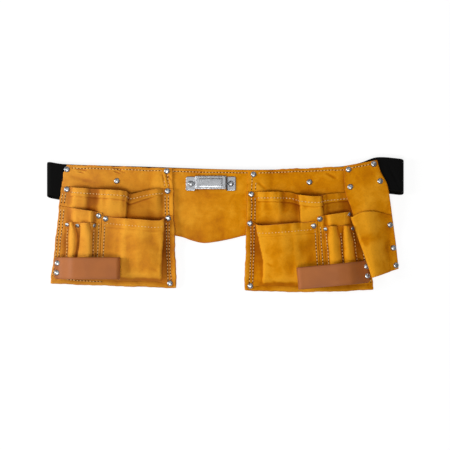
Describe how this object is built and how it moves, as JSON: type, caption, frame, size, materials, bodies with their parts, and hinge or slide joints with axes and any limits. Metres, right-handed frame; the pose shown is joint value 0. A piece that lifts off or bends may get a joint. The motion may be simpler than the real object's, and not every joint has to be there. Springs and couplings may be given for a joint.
{
  "type": "nail apron",
  "caption": "Carpenter's nail apron in split leather: two flared pouches with nail pockets, pencil sleeves and hammer loops, a steel tape clip and a side holster on a buckled webbing belt.",
  "frame": {"origin": "on the surface the apron lies on, under the middle of its bounding box", "axes": "+X to the right as seen from the front, +Y towards the waist edge, +Z away from the surface, out of the front of the pockets"},
  "size_m": [0.536, 0.2006, 0.0372],
  "materials": {
    "suede": "napped split leather, golden tan",
    "loop_leather": "smooth brown leather",
    "webbing": "woven webbing, black",
    "plastic": "matte black",
    "clip_steel": "bright, lightly brushed",
    "rivets": "bright nickel plate"
  },
  "bodies": {
    "root": {"belt_buckle": "plastic", "centre_panel": "suede", "left_hammer_loop": "loop_leather", "left_nail_pocket": "suede", "left_pencil_sleeves": "suede", "left_pouch": "suede", "left_tool_pocket": "suede", "right_hammer_loop": "loop_leather", "right_nail_pocket": "suede", "right_pencil_sleeves": "suede", "right_pouch": "suede", "right_tool_pocket": "suede", "rivet_clip_left": "rivets", "rivet_clip_right": "rivets", "rivet_holster_corner": "rivets", "rivet_holster_edge_lower": "rivets", "rivet_holster_edge_upper": "rivets", "rivet_holster_seam_lower": "rivets", "rivet_holster_seam_middle": "rivets", "rivet_holster_seam_upper": "rivets", "rivet_holster_side": "rivets", "rivet_left_foot_inner": "rivets", "rivet_left_loop_lower": "rivets", "rivet_left_loop_upper": "rivets", "rivet_left_nail_inner": "rivets", "rivet_left_nail_outer": "rivets", "rivet_left_rim_inner": "rivets", "rivet_left_rim_outer": "rivets", "rivet_left_sleeve_inner": "rivets", "rivet_left_sleeve_middle": "rivets", "rivet_left_sleeve_outer": "rivets", "rivet_left_tool_inner": "rivets", "rivet_left_top_inner": "rivets", "rivet_left_top_middle": "rivets", "rivet_left_top_outer": "rivets", "rivet_right_foot_inner": "rivets", "rivet_right_loop_lower": "rivets", "rivet_right_loop_upper": "rivets", "rivet_right_nail_inner": "rivets", "rivet_right_nail_outer": "rivets", "rivet_right_rim_inner": "rivets", "rivet_right_sleeve_inner": "rivets", "rivet_right_sleeve_outer": "rivets", "rivet_right_tool_inner": "rivets", "rivet_right_tool_outer": "rivets", "rivet_right_top_inner": "rivets", "rivet_right_top_middle": "rivets", "side_holster": "suede", "tape_clip": "clip_steel", "waist_belt": "webbing"}
  },
  "joints": []
}
